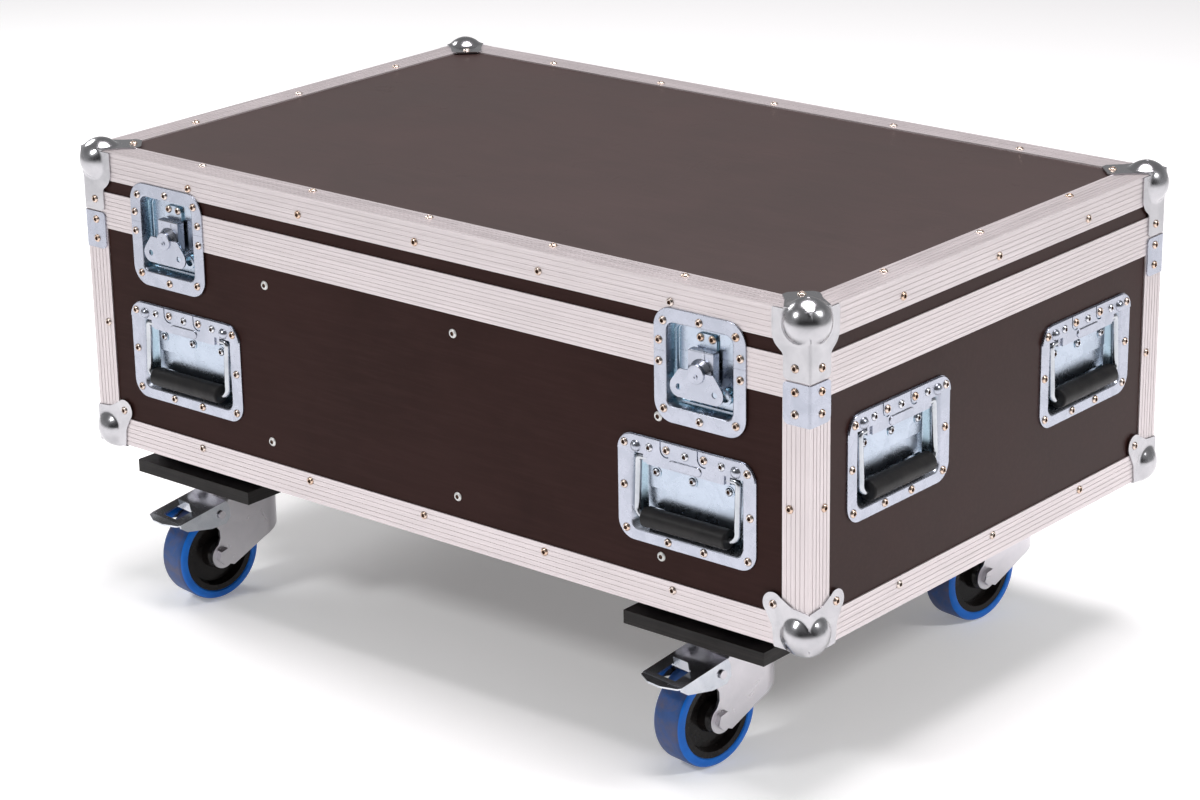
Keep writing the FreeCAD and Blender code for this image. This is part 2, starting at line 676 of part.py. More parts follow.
def handle_dish():
    """Pressed handle dish: sloped walls, a pocket behind the grip, the inner plate and two pivot lugs."""
    s = SKIN
    depth = HANDLE_DEPTH
    low = RECESS_LOW
    high = RECESS_HIGH
    flange = rounded_plate(HANDLE_WIDTH, -HANDLE_HEIGHT / 2, HANDLE_HEIGHT / 2, HANDLE_RADIUS, 0, s)
    inside = [(-0.01, -1.4), (0.5, -0.4), (1.5, 0.4), (depth - 0.8, 9.2), (depth, 10.0)]
    outside = [(0.1, -s), (depth + s, 8.5)]
    deep_low = low + 9.0
    pocket_outer = block((-54, 1, deep_low - s), (54, POCKET_DEPTH + s, POCKET_TOP + s))
    pocket_inner = block((-52.5, 0.5, deep_low), (52.5, POCKET_DEPTH, POCKET_TOP))
    shell = flange.fuse([dish(HANDLE_OPENING, low, high, 10, outside), pocket_outer])
    shell = shell.cut(dish(HANDLE_OPENING, low, high, 9, inside)).cut(pocket_inner)
    plate = rounded_plate(100, 0, 33, 2.5, depth - INNER_PLATE, depth + 0.5)
    bosses = [rod((x, depth - INNER_PLATE - 0.6, INNER_RIVET_Z), (x, depth, INNER_RIVET_Z), 5.4)
              for x in (-42, 0, 42)]
    lugs = []
    for x in (-47, 47):
        lug = block((x - 3, 0.2, PIVOT_Z - 3.5), (x + 3, depth, PIVOT_Z + 5.5))
        bore = rod((x - 4, PIVOT_Y, PIVOT_Z), (x + 4, PIVOT_Y, PIVOT_Z), BAIL_RADIUS + RUNNING_GAP)
        lugs.append(lug.cut(bore))
    return shell.fuse([plate] + bosses + lugs)


def handle_cover():
    """Plate over the bail's pivot, raised on two bumps and a bead, and slit beside two of its rivets."""
    s = SKIN
    high = HANDLE_HEIGHT / 2 - 0.5
    outline = rounded_plate(HANDLE_WIDTH - 1, COVER_LOW - 40, high, HANDLE_RADIUS - 1, -s, 0)
    plate = outline.common(block((-90, -10, COVER_LOW), (90, 10, 80)))
    plate = plate.makeFillet(0.6, [edge for edge in plate.Edges
                                   if edge.BoundBox.YMax < -s + 0.01 and edge.BoundBox.ZMax > COVER_LOW + 1])
    added = []
    for side in (-1, 1):
        inner = 44.5 if side > 0 else -90
        plate = plate.cut(block((inner, -10, COVER_LOW - 1), (inner + 45.5, 10, COVER_SIDE_LOW)))
        bump = Part.makeSphere(6.2, Vector(side * BAIL_HALF, 0.8, 40.6))
        reach = block((-90, -9, 20), (90, -s / 2, 60))
        added.append(bump.common(reach))
        rivet_x = side * 21.5
        slit = rod((rivet_x, -5, 44), (rivet_x, 5, 44), 7.6)
        slit = slit.cut(rod((rivet_x, -6, 44), (rivet_x, 6, 44), 6.2))
        slit = slit.common(block((rivet_x - 9, -5, 34), (rivet_x + 2.5, 5, 44)))
        run = block((rivet_x - 7.6, -5, 43.9), (rivet_x - 6.2, 5, 60))
        plate = plate.cut(slit.fuse(run))
    bead = rounded_plate(38, COVER_LOW + 0.8, COVER_LOW + 9.8, 4.4, -s - 1.1, -s / 2)
    bead = bead.makeFillet(0.9, [edge for edge in bead.Edges if edge.BoundBox.YMax < -s - 1.0])
    return plate.fuse(added + [bead])


def bail():
    """Bent steel wire from one pivot end, down, through the grip and up to the other end."""
    half = BAIL_HALF
    points = [(42.0, PIVOT_Y, PIVOT_Z), (half, PIVOT_Y, PIVOT_Z), (half, GRIP_Y, GRIP_Z),
              (-half, GRIP_Y, GRIP_Z), (-half, PIVOT_Y, PIVOT_Z), (-42.0, PIVOT_Y, PIVOT_Z)]
    path = bent_wire(points, [0, 3.6, 8.0, 8.0, 3.6, 0], False)
    section = Part.makeCircle(BAIL_RADIUS, Vector(*points[0]), Vector(1, 0, 0))
    return path.makePipeShell([Part.Wire([section])], True, True)


def grip():
    sleeve = rod((-GRIP_HALF, GRIP_Y, GRIP_Z), (GRIP_HALF, GRIP_Y, GRIP_Z), GRIP_RADIUS)
    rims = [edge for edge in sleeve.Edges if edge.BoundBox.XLength < 0.1]
    sleeve = sleeve.makeFillet(2.0, rims)
    return sleeve.cut(rod((-60, GRIP_Y, GRIP_Z), (60, GRIP_Y, GRIP_Z), BAIL_RADIUS))


# ---------------------------------------------------------------- rivets and bolts

def latch_rivets(lid_side):
    """Flange rivets of one latch: those above or below the lid seam."""
    spots = [(-41, 41), (0, 46), (41, 41), (-46, 22), (46, 22),
             (-46, 2), (46, 2), (-41, -42), (0, -47), (41, -42)]
    seam = SPLIT_HEIGHT - LATCH_Z
    return [rivet(x, -SKIN, z) for x, z in spots if (z > seam) == lid_side]


def handle_rivets():
    """Rivets that hold a handle to the wall, through the dish flange and the cover's corners and tabs."""
    spots = [(-70.6, 42, -SKIN), (70.6, 42, -SKIN), (-72.5, 0, 0), (72.5, 0, 0), (-70.3, -42, 0),
             (-21.6, -46, 0), (20, -46, 0), (70.3, -42, 0), (-21.5, 44, -SKIN), (21.5, 44, -SKIN)]
    return [rivet(x, y, z) for x, z, y in spots]


def handle_plate_rivets():
    """Rivets within each handle: three through the cover and three through the inner plate."""
    heads = []
    for face, x, z in handle_places():
        heads += [place(rivet(dx, -SKIN, 42.5), face, x, z) for dx in (-41.5, 0, 41.5)]
        seat = HANDLE_DEPTH - INNER_PLATE - 0.6
        heads += [place(rivet(dx, seat, INNER_RIVET_Z), face, x, z) for dx in (-42, 0, 42)]
    return solids(heads)


def profile_rivets(face, z, long_count=5, end_count=3):
    long_side = face in ("front", "back")
    count = long_count if long_side else end_count
    pitch = LONG_RIVET_PITCH if long_side else END_RIVET_PITCH
    middle = (count - 1) / 2
    return [place(rivet((i - middle) * pitch, 0, z), face) for i in range(count)]


def hinge_rivets(z):
    heads = []
    for side in (-1, 1):
        for x in (-32, 0, 32):
            heads.append(place(rivet(side * HINGE_X + x, -LEAF, z), "back"))
    return heads


def base_rivets():
    heads = []
    for face in FACE_ANGLE:
        heads += profile_rivets(face, RIVET_INSET)
    for face, x, z in latch_places():
        heads += [place(head, face, x, z) for head in latch_rivets(False)]
    for face, x, z in handle_places():
        heads += [place(head, face, x, z) for head in handle_rivets()]
    corner = []
    brace_x = HALF_LENGTH - LEG_RIVET
    for z in (243.7, 223.3):
        corner.append(place(rivet(brace_x, -SKIN, z), "front"))
        corner.append(place(rivet(-HALF_DEPTH + LEG_RIVET, -SKIN, z), "right"))
    corner.append(place(rivet(HALF_LENGTH - EAR_CENTRE, -SKIN, EAR_CENTRE), "front"))
    corner.append(place(rivet(-HALF_DEPTH + EAR_CENTRE, -SKIN, EAR_CENTRE), "right"))
    corner.append(place(rivet(HALF_LENGTH - RIVET_INSET, 0, 133), "front"))
    corner.append(place(rivet(-HALF_DEPTH + RIVET_INSET, 0, 133), "right"))
    for head in corner:
        heads += mirrored_corners(head)
    heads += hinge_rivets(SPLIT_HEIGHT - 22)
    return solids(heads)


def lid_rivets():
    heads = []
    for face in FACE_ANGLE:
        heads += profile_rivets(face, BODY_HEIGHT - LID_RIVET_INSET)
    for i in range(5):
        for side in (-1, 1):
            y = side * (HALF_DEPTH - RIVET_INSET)
            heads.append(top_rivet((i - 2) * LONG_RIVET_PITCH, y, BODY_TOP))
    for i in range(3):
        for side in (-1, 1):
            x = side * (HALF_LENGTH - RIVET_INSET)
            heads.append(top_rivet(x, (i - 1) * END_RIVET_PITCH, BODY_TOP))
    for face, x, z in latch_places():
        heads += [place(head, face, x, z) for head in latch_rivets(True)]
        heads += [place(rivet(dx, CATCH_FACE, CATCH_RIVET_Z), face, x, z)
                  for dx in (-CATCH_RIVET_X, CATCH_RIVET_X)]
    corner = [top_rivet(HALF_LENGTH - TOP_EAR_CENTRE, -HALF_DEPTH + TOP_EAR_CENTRE, BODY_TOP + SKIN),
              place(rivet(HALF_LENGTH - LEG_RIVET, -SKIN, 265.5), "front"),
              place(rivet(-HALF_DEPTH + LEG_RIVET, -SKIN, 265.5), "right")]
    for head in corner:
        heads += mirrored_corners(head)
    heads += hinge_rivets(SPLIT_HEIGHT + 20)
    return solids(heads)


def divider_bolts():
    """Oval heads of the bolts that hold the dividers through the front and back walls."""
    spots = [(x, z) for x in DIVIDER_X[:2] for z in DIVIDER_BOLT_Z]
    spots += [(DIVIDER_X[2], DIVIDER_BOLT_Z[0]), (CORNER_BOLT_X, CORNER_BOLT_Z)]
    heads = []
    for x, z in spots:
        head = rod((0, SKIN, 0), (0, SKIN - BOLT_HEAD_HEIGHT, 0), BOLT_HEAD_RADIUS)
        front = [edge for edge in head.Edges if edge.BoundBox.YMax < SKIN - BOLT_HEAD_HEIGHT + 0.01]
        head = head.makeFillet(0.9, front)
        head = head.cut(rod((0, -2, 0), (0, SKIN - 0.8, 0), 1.7))
        heads.append(place(head, "front", x, z))
        heads.append(place(head, "back", -x, z))
    return solids(heads)


# ---------------------------------------------------------------- hinges

def hinge_leaf(lid_side):
    """One leaf with its knuckles, in the back wall frame with z = 0 on the pin axis."""
    axis_y = -HINGE_AXIS_OUT
    half = HINGE_WIDTH / 2
    third = HINGE_WIDTH / 6
    clear = KNUCKLE_RADIUS + 0.4
    bore = rod((-half, axis_y, 0), (half, axis_y, 0), HINGE_PIN_RADIUS + RUNNING_GAP)
    if lid_side:
        spans = [(-third + 0.3, third - 0.3)]
        plate = block((-half, -LEAF, clear), (half, 0, 30))
        root_low, root_high = (0, clear)
    else:
        spans = [(-half, -third), (third, half)]
        plate = block((-half, -LEAF, -32), (half, 0, -clear))
        root_low, root_high = (-clear, 0)
    parts = []
    for low, high in spans:
        parts.append(rod((low, axis_y, 0), (high, axis_y, 0), KNUCKLE_RADIUS))
        parts.append(block((low, -LEAF - 1.5, root_low), (high, -0.3, root_high)))
    return plate.fuse(parts).cut(bore)


def hinge_leaves(lid_side):
    z = SPLIT_HEIGHT + SEAM / 2
    return solids([place(hinge_leaf(lid_side), "back", side * HINGE_X, z) for side in (-1, 1)])


def hinge_pins():
    pin = rod((-HINGE_WIDTH / 2, -HINGE_AXIS_OUT, 0), (HINGE_WIDTH / 2, -HINGE_AXIS_OUT, 0), HINGE_PIN_RADIUS)
    z = SPLIT_HEIGHT + SEAM / 2
    return solids([place(pin, "back", side * HINGE_X, z) for side in (-1, 1)])


# ---------------------------------------------------------------- caster boards and casters

def caster_places():
    return {"front_left": (-CASTER_X, -CASTER_Y), "front_right": (CASTER_X, -CASTER_Y),
            "rear_left": (-CASTER_X, CASTER_Y), "rear_right": (CASTER_X, CASTER_Y)}


def bolt_spots():
    return [(x, y) for x in (-PLATE_BOLT_X, PLATE_BOLT_X) for y in (-PLATE_BOLT_Y, PLATE_BOLT_Y)]


def wheel_boards():
    """Caster boards, each under a set-back spacer that lets it clear the ball corners."""
    parts = []
    low = CASTER_HEIGHT
    high = low + BOARD_THICK
    for x, y in caster_places().values():
        inward = 1 if y < 0 else -1
        board = block((x - BOARD_WIDTH / 2, y - BOARD_DEPTH / 2, low),
                      (x + BOARD_WIDTH / 2, y + BOARD_DEPTH / 2, high))
        for bx, by in bolt_spots():
            board = board.cut(rod((x + bx, y + by, low), (x + bx, y + by, high), 4.05))
        outer = y - inward * (BOARD_DEPTH / 2 - SPACER_SETBACK)
        inner = y + inward * BOARD_DEPTH / 2
        spacer = block((x - BOARD_WIDTH / 2, min(outer, inner), high),
                       (x + BOARD_WIDTH / 2, max(outer, inner), BODY_BOTTOM))
        parts += [board, spacer]
    return solids(parts)


def caster_top_plate():
    top = CASTER_HEIGHT
    plate = block((-52.5, -42.5, top - 3), (52.5, 42.5, top))
    upright = [edge for edge in plate.Edges if edge.BoundBox.ZLength > 2.9]
    plate = plate.makeFillet(8.0, upright)
    for x, y in bolt_spots():
        plate = plate.cut(rod((x, y, top - 4), (x, y, top + 1), 4.05))
    race = Part.makeCone(36, 31, top - 3 - CROWN_TOP - 5.5, Vector(0, 0, CROWN_TOP + 5.5))
    kingpin = rod((0, 0, CROWN_TOP - 7), (0, 0, top - 3), 7)
    collar = rod((0, 0, CROWN_TOP - 7.5), (0, 0, CROWN_TOP - 4.4), 10)
    return plate.fuse([race, kingpin, collar])


def caster_top_plates():
    plates = []
    for x, y in caster_places().values():
        plate = caster_top_plate()
        plate.translate(Vector(x, y, 0))
        plates.append(plate)
    return solids(plates)


def caster_plate_bolts():
    bolts = []
    top = CASTER_HEIGHT
    for x, y in caster_places().values():
        for bx, by in bolt_spots():
            ring_points = [(x + bx + 7.5 * math.cos(math.radians(60 * i)),
                            y + by + 7.5 * math.sin(math.radians(60 * i)), top - 8.3) for i in range(6)]
            head = prism(ring_points, (0, 0, 1), 5.3)
            shank = rod((x + bx, y + by, top - 4), (x + bx, y + by, top + 12), 4.0)
            bolts.append(head.fuse(shank))
    return solids(bolts)


def in_caster_frame(shape, corner):
    """Steer a caster part about its kingpin and set it under its board."""
    x, y = caster_places()[corner]
    moved = shape.copy()
    moved.rotate(Vector(0, 0, 0), Vector(0, 0, 1), -CASTER_STEER_DEG)
    moved.translate(Vector(x, y, 0))
    return moved


def fork(braked):
    """Pressed fork with its crown race; axle bolt and nut stay with it."""
    outer = FORK_INNER + FORK_SHEET
    nose = 12.0
    low = 30.0
    shell = block((-outer, -90, low), (outer, nose, CROWN_TOP))
    shell = shell.fuse(rod((0, nose, low), (0, nose, CROWN_TOP), outer)).removeSplitter()
    shell = shell.makeFillet(4.0, [edge for edge in shell.Edges
                                   if edge.BoundBox.ZMin > CROWN_TOP - 0.01 and edge.BoundBox.YMax > -89])
    hollow = block((-FORK_INNER, -91, low - 1), (FORK_INNER, nose, CROWN_TOP - 4))
    hollow = hollow.fuse(rod((0, nose, low - 1), (0, nose, CROWN_TOP - 4), FORK_INNER))
    side = prism([(-60, -34, 112), (-60, 40, 112), (-60, 40, 70), (-60, 8, 56.5), (-60, -33, 36.5),
                  (-60, -59.5, 47), (-60, -49, 70), (-60, -49.5, 79), (-60, -54, 85), (-60, -58, 89)],
                 (1, 0, 0), 120)
    eye = rod((-60, -TRAIL, WHEEL_RADIUS), (60, -TRAIL, WHEEL_RADIUS), 14.0)
    body = shell.cut(hollow).common(side.fuse(eye))
    crown = rod((0, 0, CROWN_TOP - 4), (0, 0, CROWN_TOP), 37)
    race = rod((0, 0, CROWN_TOP), (0, 0, CROWN_TOP + 5.1), 33)
    body = body.fuse([crown, race])
    body = body.cut(rod((0, 0, CROWN_TOP - 5), (0, 0, CROWN_TOP + 6), 7 + RUNNING_GAP))
    body = body.cut(rod((-60, -TRAIL, WHEEL_RADIUS), (60, -TRAIL, WHEEL_RADIUS), AXLE_RADIUS))
    if braked:
        for side_x in (-1, 1):
            pin = rod((side_x * outer, PEDAL_PIVOT_Y, PEDAL_PIVOT_Z),
                      (side_x * (outer + 3.2), PEDAL_PIVOT_Y, PEDAL_PIVOT_Z), 3.0)
            cap = rod((side_x * (outer + 3.2), PEDAL_PIVOT_Y, PEDAL_PIVOT_Z),
                      (side_x * (outer + 4.8), PEDAL_PIVOT_Y, PEDAL_PIVOT_Z), 4.2)
            body = body.fuse([pin, cap])
    return solids([body, axle()])


def axle():
    """Axle bolt with hexagon head and nut, clamped in the fork."""
    outer = FORK_INNER + FORK_SHEET
    shank = rod((-outer - 8, -TRAIL, WHEEL_RADIUS), (outer, -TRAIL, WHEEL_RADIUS), AXLE_RADIUS)
    hexagons = []
    for start, thick in ((outer, 5.5), (-outer - 6.5, 6.5)):
        points = [(start, -TRAIL + 9.2 * math.cos(math.radians(60 * i + 15)),
                   WHEEL_RADIUS + 9.2 * math.sin(math.radians(60 * i + 15))) for i in range(6)]
        hexagons.append(prism(points, (1, 0, 0), thick))
    return shank.fuse(hexagons)


def revolve_on_axle(outline):
    """Revolve an (x, radius) outline about the wheel axle."""
    points = [Vector(x, -TRAIL, WHEEL_RADIUS + r) for x, r in outline]
    face = Part.Face(Part.makePolygon(points + [points[0]]))
    return face.revolve(Vector(0, -TRAIL, WHEEL_RADIUS), Vector(1, 0, 0), 360)


def rim():
    bore = AXLE_RADIUS + RUNNING_GAP
    hub_x = FORK_INNER - 0.5
    face_x = TREAD_WIDTH / 2 - 1.5
    half = [(hub_x, bore), (hub_x, 11), (face_x, 15), (8, 17), (8, 32), (face_x, 34.5), (face_x, RIM_RADIUS)]
    outline = half + [(-x, r) for x, r in reversed(half)]
    return revolve_on_axle(outline)


def tyre():
    half = TREAD_WIDTH / 2
    side = [(half - 1.5, RIM_RADIUS), (half, RIM_RADIUS + 1), (half, WHEEL_RADIUS - 4.5),
            (half - 1.2, WHEEL_RADIUS - 1.6), (half - 4, WHEEL_RADIUS)]
    outline = side + [(-x, r) for x, r in reversed(side)]
    return revolve_on_axle(outline)


def brake_pedal():
    """Foot pedal: a channel over the fork with a window, an upturned tab and a front lip."""
    inner = FORK_INNER + FORK_SHEET + 0.3
    sheet = 2.0
    outer = inner + sheet
    back = (-41.0, 110.4)
    front = (-99.0, 98.6)
    outline = [back, (-37, 104), (-36, 92), (-42, 85.5), (-60, 84.2), (-91, 89.2), (-99, 94.5), front]
    solid = prism([(-outer, y, z) for y, z in outline], (1, 0, 0), 2 * outer)
    hollow_outline = [(back[0] + 8, back[1] - sheet + 1.6), (-30, 80), (-110, 80),
                      (front[0] - 5, front[1] - sheet - 1.0)]
    hollow = prism([(-inner, y, z) for y, z in hollow_outline], (1, 0, 0), 2 * inner)
    pedal = solid.cut(hollow)
    pedal = pedal.cut(block((-12, -94, 90), (12, -74, 120)))
    tab = prism([(-10, -74, 102), (-10, -72.5, 102), (-10, -74.5, 112), (-10, -76, 112)], (1, 0, 0), 20)
    lip = prism([(-outer, -98, 96.8), (outer, -98, 96.8), (outer - 2, -103, 96.8), (8, -110, 96.8),
                 (-8, -110, 96.8), (-outer + 2, -103, 96.8)], (0, 0, 1), 1.6)
    pedal = pedal.fuse([tab, lip])
    bore = rod((-40, PEDAL_PIVOT_Y, PEDAL_PIVOT_Z), (40, PEDAL_PIVOT_Y, PEDAL_PIVOT_Z), 3.0 + RUNNING_GAP)
    return pedal.cut(bore)


# ---------------------------------------------------------------- assembly

def handle_names():
    names = ["front_left", "front_right", "right_front", "right_rear", "left_rear", "left_front"]
    return list(zip(names, handle_places()))


def build():
    nodes = {"bottom_panel": bottom_panel()}
    nodes.update(base_walls())
    nodes["interior_dividers"] = interior_dividers()
    nodes["base_edge_profiles"] = base_edge_profiles()
    nodes["base_closing_rails"] = base_closing_rails()
    nodes["base_ball_corners"] = base_ball_corners()
    nodes["base_corner_braces"] = base_corner_braces()
    nodes["base_rivets"] = base_rivets()
    nodes["handle_plate_rivets"] = handle_plate_rivets()
    nodes["divider_bolts"] = divider_bolts()
    nodes["hinge_base_leaves"] = hinge_leaves(False)
    nodes["hinge_pins"] = hinge_pins()
    nodes["wheel_boards"] = wheel_boards()
    nodes["caster_top_plates"] = caster_top_plates()
    nodes["caster_plate_bolts"] = caster_plate_bolts()
    nodes["lid_top_panel"] = lid_top_panel()
    nodes["lid_long_panels"] = lid_long_panels()
    nodes["lid_end_panels"] = lid_end_panels()
    nodes["lid_edge_profiles"] = lid_edge_profiles()
    nodes["lid_closing_rails"] = lid_closing_rails()
    nodes["lid_ball_corners"] = lid_ball_corners()
    nodes["lid_rivets"] = lid_rivets()
    nodes["hinge_lid_leaves"] = hinge_leaves(True)
    nodes["latch_base_dishes"] = solids([place(latch_base_dish(), *spot) for spot in latch_places()])
    nodes["latch_lid_dishes"] = solids([place(latch_lid_dish(), *spot) for spot in latch_places()])
    for side, spot in zip(("left", "right"), latch_places()):
        nodes["latch_key_" + side] = place(latch_key(), *spot)
        nodes["latch_hook_" + side] = place(latch_hook(), *spot)
    nodes["handle_dishes"] = solids([place(handle_dish(), *spot) for spot in handle_places()])
    nodes["handle_cover_plates"] = solids([place(handle_cover(), *spot) for spot in handle_places()])
    for name, spot in handle_names():
        nodes["bail_" + name] = place(bail(), *spot)
        nodes["grip_" + name] = place(grip(), *spot)
    for corner in caster_places():
        braked = corner.startswith("front")
        nodes["caster_fork_" + corner] = in_caster_frame(fork(braked), corner)
        nodes["wheel_rim_" + corner] = in_caster_frame(rim(), corner)
        nodes["tyre_" + corner] = in_caster_frame(tyre(), corner)
        if braked:
            nodes["brake_pedal_" + corner] = in_caster_frame(brake_pedal(), corner)
    return nodes


def main():
    os.makedirs("parts", exist_ok=True)
    for name, shape in build().items():
        shape.exportStep("parts/" + name + ".step")
        print(name, len(shape.Solids), shape.isValid(), round(shape.Volume))


main()
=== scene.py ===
"""Looks of the wheeled transport case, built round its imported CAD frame. Metres, +Z up."""

import math

import bmesh
import bpy
from mathutils import Matrix, Vector


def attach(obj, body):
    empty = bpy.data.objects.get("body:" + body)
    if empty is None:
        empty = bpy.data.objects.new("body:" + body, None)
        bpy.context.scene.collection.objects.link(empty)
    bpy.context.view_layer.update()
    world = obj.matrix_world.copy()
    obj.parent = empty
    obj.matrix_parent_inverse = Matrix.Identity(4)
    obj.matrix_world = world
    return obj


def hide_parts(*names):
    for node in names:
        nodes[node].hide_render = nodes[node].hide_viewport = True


# Camera, as it stands to the object
CAMERA_AT = (2.0703, -2.4686, 1.3440)
CAMERA_AZIMUTH = 40.271
CAMERA_ELEVATION = 19.320
CAMERA_ROLL = -0.970
CAMERA_LENS = 99.2
SENSOR = 36.0

# Case body, from the CAD frame
HALF_LENGTH = 0.465
HALF_DEPTH = 0.2925
BODY_BOTTOM = 0.155
EDGE_LEG = 0.030
MID_HEIGHT = 0.3

# Casters and handles, from the CAD frame
STEER_DEGREES = -8
TYRE_HALF_WIDTH = 0.018
TYRE_INNER = 0.0405
TYRE_OUTER = 0.050
CORNERS = ("front_left", "front_right", "rear_left", "rear_right")
HANDLE_SPOTS = ("front_left", "front_right", "right_front", "right_rear", "left_front", "left_rear")

# Softened edges, by the kind of piece
HEAVY_EDGE = 0.0006
PRESSED_EDGE = 0.0005
CUT_EDGE = 0.0004
THIN_EDGE = 0.0003
BEVEL_SEGMENTS = 3
BEVEL_ANGLE = 32

# Room
FLOOR_HALF = 14
ROOM_STRENGTH = 0.46
DARK_SIDE = (0.62, -0.78, 0.0)
DARK_TONE = (0.035, 0.033, 0.035, 1)
ROOM_STOPS = ((0.0, 0.85), (0.49, 0.85), (0.52, 0.95), (0.66, 0.62), (1.0, 0.42))
BAND_STOPS = ((0.44, 0.0), (0.50, 1.0), (0.60, 1.0), (0.80, 0.25))

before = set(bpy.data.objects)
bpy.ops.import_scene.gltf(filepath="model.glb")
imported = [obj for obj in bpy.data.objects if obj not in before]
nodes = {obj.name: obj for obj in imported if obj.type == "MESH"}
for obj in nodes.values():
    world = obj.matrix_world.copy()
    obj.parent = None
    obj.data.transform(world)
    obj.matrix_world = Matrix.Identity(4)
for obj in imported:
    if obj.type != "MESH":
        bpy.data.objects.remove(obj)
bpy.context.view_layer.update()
scene = bpy.context.scene


# ---------------------------------------------------------------- camera, lights and floor

def camera_basis():
    """Right, up and backward directions of the camera."""
    a = math.radians(CAMERA_AZIMUTH)
    e = math.radians(CAMERA_ELEVATION)
    r = math.radians(CAMERA_ROLL)
    back = Vector((math.sin(a) * math.cos(e), -math.cos(a) * math.cos(e), math.sin(e)))
    level = Vector((0, 0, 1)).cross(back).normalized()
    rise = back.cross(level)
    right = level * math.cos(r) + rise * math.sin(r)
    return right, back.cross(right), back


def make_camera():
    data = bpy.data.cameras.new("view")
    data.lens = CAMERA_LENS
    data.sensor_width = SENSOR
    data.clip_start = 0.05
    data.clip_end = 60
    camera = bpy.data.objects.new("view", data)
    scene.collection.objects.link(camera)
    camera.matrix_world = Matrix.Translation(CAMERA_AT) @ Matrix(camera_basis()).transposed().to_4x4()
    scene.camera = camera


def area_light(name, direction, distance, size, power, tint=(1, 1, 1)):
    data = bpy.data.lights.new(name, "AREA")
    data.shape = "DISK"
    data.size = size
    data.energy = power
    data.color = tint
    lamp = bpy.data.objects.new(name, data)
    scene.collection.objects.link(lamp)
    toward = Vector(direction).normalized()
    lamp.location = Vector((0, 0, MID_HEIGHT)) + toward * distance
    lamp.rotation_mode = "QUATERNION"
    lamp.rotation_quaternion = toward.to_track_quat("Z", "Y")


def make_lights():
    area_light("front_dish", (-0.28, -0.76, 0.59), 3.2, 0.55, 27)
    area_light("right_dish", (0.79, 0.21, 0.57), 3.2, 0.55, 30)
    area_light("left_window", (-0.86, 0.05, 0.50), 3.2, 1.2, 28)
    area_light("overhead", (0.05, 0.10, 1.0), 3.0, 2.2, 106, (1.0, 0.955, 0.975))


def grey_ramp(tree, factor, stops, blue=1.0):
    """Grey levels at the given stops, with their blue scaled."""
    ramp = tree.nodes.new("ShaderNodeValToRGB")
    for i, (at, level) in enumerate(stops):
        element = ramp.color_ramp.elements[i] if i < 2 else ramp.color_ramp.elements.new(at)
        element.position = at
        element.color = (level, level, level * blue, 1)
    tree.links.new(factor, ramp.inputs[0])
    return ramp.outputs["Color"]


def make_world():
    """Pale room, brightest at the horizon, with a dark band above the horizon on one side."""
    world = bpy.data.worlds.new("studio")
    scene.world = world
    world.use_nodes = True
    tree = world.node_tree
    background = tree.nodes["Background"]
    coords = tree.nodes.new("ShaderNodeTexCoord")
    split = tree.nodes.new("ShaderNodeSeparateXYZ")
    tree.links.new(coords.outputs["Generated"], split.inputs[0])
    lift = tree.nodes.new("ShaderNodeMath")
    lift.operation = "MULTIPLY_ADD"
    lift.inputs[1].default_value = 0.5
    lift.inputs[2].default_value = 0.5
    tree.links.new(split.outputs[2], lift.inputs[0])
    height = grey_ramp(tree, lift.outputs[0], ROOM_STOPS, 1.01)
    side = tree.nodes.new("ShaderNodeVectorMath")
    side.operation = "DOT_PRODUCT"
    side.inputs[1].default_value = DARK_SIDE
    tree.links.new(coords.outputs["Generated"], side.inputs[0])
    room = tree.nodes.new("ShaderNodeMapRange")
    room.interpolation_type = "SMOOTHSTEP"
    room.inputs["From Min"].default_value = 0.30
    room.inputs["From Max"].default_value = 0.85
    tree.links.new(side.outputs["Value"], room.inputs["Value"])
    band = grey_ramp(tree, lift.outputs[0], BAND_STOPS)
    both = tree.nodes.new("ShaderNodeMath")
    both.operation = "MULTIPLY"
    tree.links.new(room.outputs["Result"], both.inputs[0])
    tree.links.new(band, both.inputs[1])
    mix = tree.nodes.new("ShaderNodeMix")
    mix.data_type = "RGBA"
    tree.links.new(both.outputs[0], mix.inputs["Factor"])
    tree.links.new(height, mix.inputs["A"])
    mix.inputs["B"].default_value = DARK_TONE
    tree.links.new(mix.outputs["Result"], background.inputs["Color"])
    background.inputs["Strength"].default_value = ROOM_STRENGTH


def make_floor():
    bm = bmesh.new()
    bmesh.ops.create_grid(bm, x_segments=8, y_segments=8, size=FLOOR_HALF)
    mesh = bpy.data.meshes.new("studio_floor")
    bm.to_mesh(mesh)
    bm.free()
    floor = bpy.data.objects.new("studio_floor", mesh)
    scene.collection.objects.link(floor)
    material = bpy.data.materials.new("studio_floor")
    material.use_nodes = True
    tree = material.node_tree
    shader = tree.nodes["Principled BSDF"]
    noise = tree.nodes.new("ShaderNodeTexNoise")
    noise.inputs["Scale"].default_value = 3.0
    tone = tree.nodes.new("ShaderNodeMapRange")
    tone.inputs["To Min"].default_value = 0.94
    tone.inputs["To Max"].default_value = 0.96
    tree.links.new(noise.outputs["Fac"], tone.inputs["Value"])
    tree.links.new(tone.outputs["Result"], shader.inputs["Base Color"])
    shader.inputs["Roughness"].default_value = 0.9
    shader.inputs["Specular IOR Level"].default_value = 0.0
    shader.inputs["Emission Color"].default_value = (1, 1, 1, 1)
    shader.inputs["Emission Strength"].default_value = 0.21
    mesh.materials.append(material)


# ---------------------------------------------------------------- material helper

